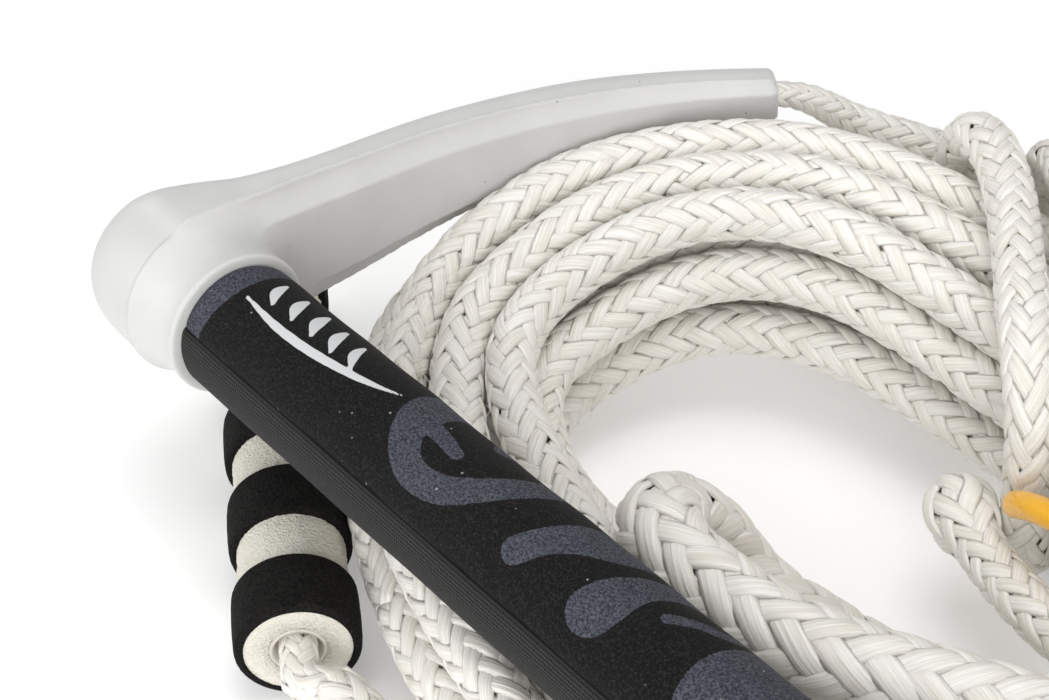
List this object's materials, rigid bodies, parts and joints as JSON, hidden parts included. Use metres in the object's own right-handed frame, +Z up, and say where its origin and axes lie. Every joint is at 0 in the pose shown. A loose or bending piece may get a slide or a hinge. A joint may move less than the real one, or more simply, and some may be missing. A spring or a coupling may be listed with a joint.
{
  "type": "tow rope handle",
  "caption": "Padded tow bar with moulded rubber arms and a rope bridle, lying on its coiled braided tow line with a foam float, slanted tie and spliced end loop.",
  "frame": {"origin": "middle of the footprint's bounding box, on the ground", "axes": "+X along the bar, from the arm with the float beside it to the other arm; +Y from the bar along the arms to the bridle knot; +Z up"},
  "size_m": [0.3846, 0.2468, 0.0746],
  "materials": {
    "tube": "mill finish",
    "grip_foam": "soft foam",
    "grip_fabric": "suede-like with a grey-blue print",
    "seam_tape": "ribbed knit",
    "liner": "satin",
    "arm_rubber": "soft satin",
    "rope": "silky braided fibre",
    "bungee": "glossy",
    "float_core": "ground foam",
    "float_foam": "matte foam"
  },
  "bodies": {
    "hank": {"bridle_leg_left": "rope", "bridle_leg_right": "rope", "bridle_knot": "rope", "line_lead": "rope", "line_in_float": "rope", "line_return": "rope", "line_coil": "rope", "line_end": "rope", "end_loop": "rope", "loop_splice": "rope", "hank_tie": "rope", "tie_tail": "rope", "stopper_knot": "rope", "bungee_core": "bungee"},
    "handle": {"bar_tube": "tube", "grip_foam": "grip_foam", "grip_cover": "grip_fabric", "seam_tape": "seam_tape", "tube_plug_left": "liner", "tube_plug_right": "liner", "arm_left": "arm_rubber", "arm_right": "arm_rubber", "bridle_line": "rope"},
    "float_tube": {"float_liner": "liner"},
    "float_foam": {"float_core": "float_core", "float_ring_1": "float_foam", "float_ring_2": "float_foam", "float_ring_3": "float_foam", "float_ring_4": "float_foam", "float_ring_5": "float_foam"}
  },
  "joints": [
    {"name": "handle_lift", "type": "hinge", "parent": "hank", "child": "handle", "pos_m": [0.02528, 0.07058, 0.05078], "axis": [-1, 0, 0], "range_deg": [0, 90]},
    {"name": "float_slide", "type": "slide", "parent": "hank", "child": "float_tube", "axis": [-0.8504, 0.5262, 0], "range_m": [-0.004, 0.014]},
    {"name": "float_spin", "type": "hinge", "parent": "float_tube", "child": "float_foam", "pos_m": [-0.04822, -0.11222, 0.01408], "axis": [-0.8504, 0.5262, 0], "continuous": true}
  ]
}
